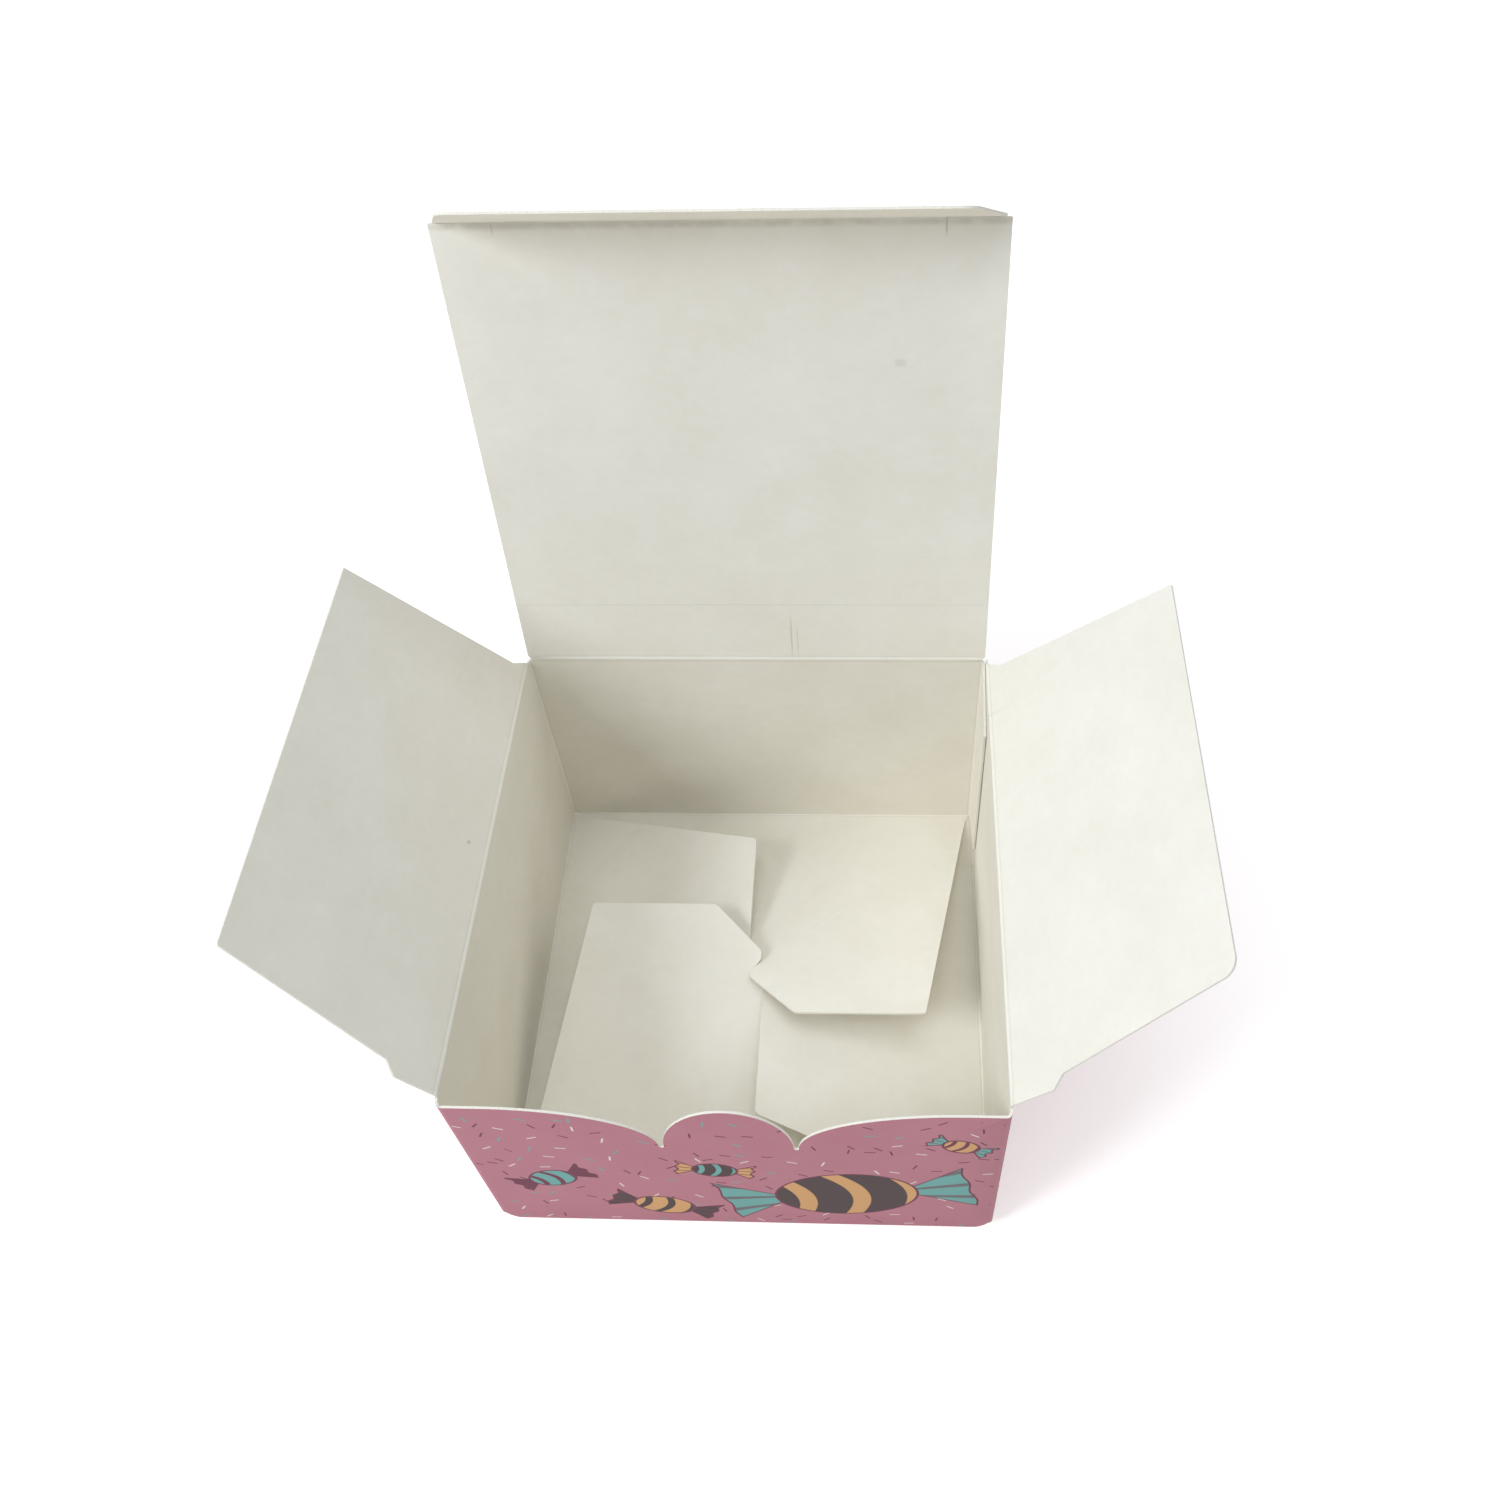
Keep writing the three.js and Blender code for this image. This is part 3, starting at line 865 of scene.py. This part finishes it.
# A hinge crease is a strip of the same board, with a low bead on the inner side.
def cutCrease(sheet, name, bodies, line, bead, ends, inside):
    strip = cutOut(sheet, name, inside)
    layered = bmesh.new()
    seen = bpy.context.evaluated_depsgraph_get()
    layered.from_mesh(strip.evaluated_get(seen).to_mesh())
    layered.normal_update()
    for vert in layered.verts:
        away = abs(flatPlace(layered, vert)[1] - line) / finish["beadHalf"]
        inner = all(face.material_index == finish["inner"] for face in vert.link_faces)
        if away < 1 and inner:
            vert.co += vert.normal * bead * mm * (1 - away ** 2)
    mesh = bpy.data.meshes.new(name)
    layered.to_mesh(mesh)
    layered.free()
    for material in finishes:
        mesh.materials.append(material)
    mesh.set_sharp_from_angle(angle=radians(finish["sharpAngle"]))
    strip.modifiers.clear()
    strip.data = mesh
    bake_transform(strip, *bodies, start=ends[0], end=ends[1])


cuts = {"leftDust": (-163.3, -56.0), "rightDust": (56.0, 163.3), "rightWallEnd": 163.4}
beads = {"lid": 0.08, "leftDust": 0.1, "rightDust": 0.02, "tuck": 0.0}
blends = {
    "lidLean": 0.1,           # how far the upper end of the lid's crease leans back
    "tuckReach": 0.6,         # from the tuck's fold to each end of its blend
}


def cutPieces():
    sheet = foldBlank()
    print("blank folded:", len(sheet.faces), "faces")
    hinge = blank["creaseHalf"]
    top = blank["height"]
    lidLow = blank["lidFold"] - hinge
    lidHigh = blank["lidFold"] + hinge
    inBack = lambda u: u < blank["backEdge"]
    pastSlit = lambda u: abs(u - middles["back"]) > upper["slitHalf"]
    inLeft = lambda u: cuts["leftDust"][0] < u < cuts["leftDust"][1]
    inRight = lambda u: cuts["rightDust"][0] < u < cuts["rightDust"][1]
    cutPanel(sheet, "cartonSheet", "carton", "carton_body",
             lambda u, v: v < lidLow if inBack(u) else v < top - hinge or u > cuts["rightWallEnd"])
    cutPanel(sheet, "lidPanel", "lid", "lid",
             lambda u, v: inBack(u) and lidHigh < v < (tuckLine if pastSlit(u) else tuckLine - hinge))
    cutPanel(sheet, "tuckPanel", "tuck", "tuck_flap",
             lambda u, v: inBack(u) and v > (tuckLine if pastSlit(u) else tuckLine + hinge))
    cutPanel(sheet, "leftDustPanel", "left_dust", "left_dust_flap",
             lambda u, v: inLeft(u) and v > top + hinge)
    cutPanel(sheet, "rightDustPanel", "right_dust", "right_dust_flap",
             lambda u, v: inRight(u) and v > top + hinge)
    print("panels cut")
    back = blank["wall"] * mm
    ends = ((0, back, lidLow * mm), (0, back + blends["lidLean"] * mm, lidHigh * mm))
    cutCrease(sheet, "lidCrease", ("carton", "lid"), blank["lidFold"], beads["lid"], ends,
              lambda u, v: inBack(u) and lidLow < v < lidHigh)
    dustFlaps = (("leftDust", "left_dust", -1, inLeft), ("rightDust", "right_dust", 1, inRight))
    for flap, body, side, inFlap in dustFlaps:
        lean = radians(angles[flap] - 90)
        low = Vector((side * half, half, top - hinge)) * mm
        high = Vector((side * (half + sin(lean) * hinge), half, top + cos(lean) * hinge)) * mm
        cutCrease(sheet, flap + "Crease", ("carton", body), top, beads[flap], (low, high),
                  lambda u, v: inFlap(u) and top - hinge < v < top + hinge)
    pivot = Vector(frame["joints"][1]["pos_m"])
    lid = radians(angles["lid"] - 90)
    tuck = lid - radians(angles["tuck"])
    before = pivot - Vector((0, sin(lid), cos(lid))) * blends["tuckReach"] * mm
    after = pivot + Vector((0, sin(tuck), cos(tuck))) * blends["tuckReach"] * mm
    cutCrease(sheet, "tuckCrease", ("lid", "tuck"), tuckLine, beads["tuck"], (before, after),
              lambda u, v: not pastSlit(u) and abs(v - tuckLine) < hinge)
    sheet.free()
    print("creases cut")


cutPieces()


studio = {
    "ambient": 0.40,
    "tint": (0.86, 0.915, 1.0),
    "lamps": {                    # place, size, power
        "keyLamp": ((-0.64, -0.35, 0.75), 0.4, 6.3),
        "topLamp": ((0.05, 0.05, 1.1), 0.8, 4.0),
        "fillLamp": ((0.75, 0.05, 0.75), 0.6, 0.75),
    },
    "aim": (0, 0.055, 0.05),
    "floorColour": colour(252, 247, 239),
    "floorHalf": 3.0,
    "floorGlow": 0.4,
    "floorReach": (0.3, 1.2),     # where the floor fades to plain white
}


def setFloor():
    paint = newPaint("paperFloor")
    place = paint.node("ShaderNodeNewGeometry")
    away = paint.node("ShaderNodeVectorMath", {"operation": "LENGTH"}, {0: place}, 1)
    near, far = studio["floorReach"]
    glow = studio["floorGlow"] + ((away - near) / (far - near)).clamped()
    material = paint.surface({
        "Base Color": studio["floorColour"],
        "Roughness": 0.9,
        "Specular IOR Level": 0.1,
        "Emission Color": paint.shownRays() * glow,
        "Emission Strength": 1.0,
    })
    plane = bmesh.new()
    bmesh.ops.create_grid(plane, x_segments=1, y_segments=1, size=studio["floorHalf"])
    mesh = bpy.data.meshes.new("studioFloor")
    plane.to_mesh(mesh)
    plane.free()
    mesh.materials.append(material)
    floor = bpy.data.objects.new("studioFloor", mesh)
    bpy.context.scene.collection.objects.link(floor)


def setWorld():
    paint = Paint(bpy.data.worlds.new("studio"))
    shown = paint.shownRays()
    tint = paint.mix(shown, (*studio["tint"], 1), (1, 1, 1, 1))
    strength = studio["ambient"] + shown * (1 - studio["ambient"])
    sky = paint.node("ShaderNodeBackground", {}, {"Color": tint, "Strength": strength})
    paint.node("ShaderNodeOutputWorld", {}, {"Surface": sky})
    bpy.context.scene.world = paint.owner


def addLamp(name, place, size, power):
    lamp = bpy.data.lights.new(name, "AREA")
    lamp.shape = "DISK"
    lamp.size = size
    lamp.energy = power
    lamp.color = studio["tint"]
    holder = bpy.data.objects.new(name, lamp)
    holder.location = place
    aim = Vector(studio["aim"]) - Vector(place)
    holder.rotation_euler = aim.to_track_quat("-Z", "Y").to_euler()
    bpy.context.scene.collection.objects.link(holder)


camera = {
    "sensor": 36,
    "lens": 33.396,
    "shift": (-0.04564, -0.04546),
    "nearest": 0.01,
    "place": (0.03046, -0.10097, 0.31983),
    "turn": (38.841, 1.964, 1.83),      # degrees
}


def addCamera():
    lens = bpy.data.cameras.new("photoCamera")
    lens.sensor_width = camera["sensor"]
    lens.lens = camera["lens"]
    lens.shift_x, lens.shift_y = camera["shift"]
    lens.clip_start = camera["nearest"]
    holder = bpy.data.objects.new("photoCamera", lens)
    holder.location = camera["place"]
    holder.rotation_euler = [radians(angle) for angle in camera["turn"]]
    bpy.context.scene.collection.objects.link(holder)
    bpy.context.scene.camera = holder


setFloor()
setWorld()
for name, (place, size, power) in studio["lamps"].items():
    addLamp(name, place, size, power)
addCamera()
bpy.context.scene.view_settings.view_transform = "Standard"
print("stage set")
